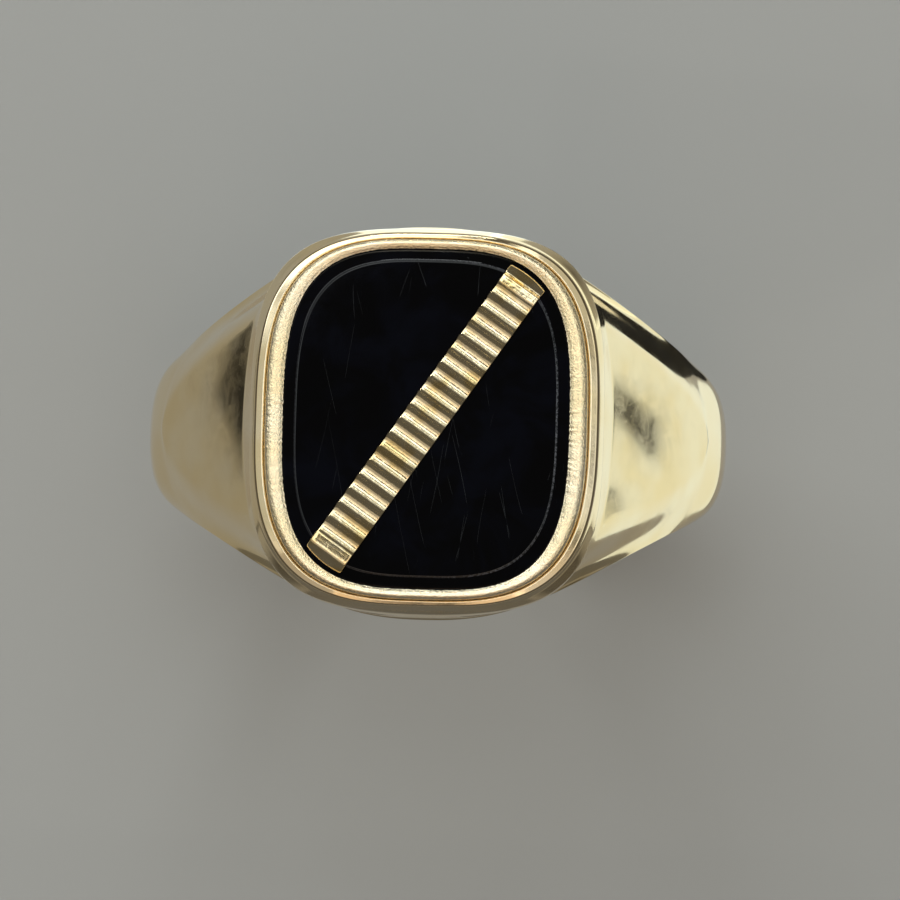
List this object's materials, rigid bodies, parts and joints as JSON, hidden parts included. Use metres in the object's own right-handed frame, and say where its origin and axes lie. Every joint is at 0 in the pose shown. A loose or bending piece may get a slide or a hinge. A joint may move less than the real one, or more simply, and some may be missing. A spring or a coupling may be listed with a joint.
{
  "type": "signet ring",
  "caption": "Gents' yellow-gold signet ring with a stepped cushion head, a bevelled black onyx plate crossed by a diagonal fluted gold bar, and tapering flat-shouldered shank.",
  "frame": {"origin": "centre of the finger bore, midway between the two edges of the shank", "axes": "+Y along the finger, +Z out through the stone's table, +X across the band"},
  "size_m": [0.0224, 0.0144, 0.0237],
  "materials": {
    "polished_gold": "polished 9 ct yellow gold with fine wear marks",
    "frame_gold": "bright polished 9 ct yellow gold",
    "burnished_gold": "burnished 9 ct yellow gold, rubbed over the stone and finely grained by the burnisher",
    "inner_gold": "satin 9 ct yellow gold, as cast and filed, out of sight behind the stone",
    "fluted_gold": "bright-cut 9 ct yellow gold, fluted across",
    "onyx": "polished black onyx with faint hairline scratches"
  },
  "bodies": {
    "root": {"shank": "polished_gold", "head_frame": "frame_gold", "setting_collar": "burnished_gold", "stone_seat": "inner_gold", "onyx_plate": "onyx", "fluted_bar": "fluted_gold", "bar_peg_lower": "inner_gold", "bar_peg_upper": "inner_gold"}
  },
  "joints": []
}
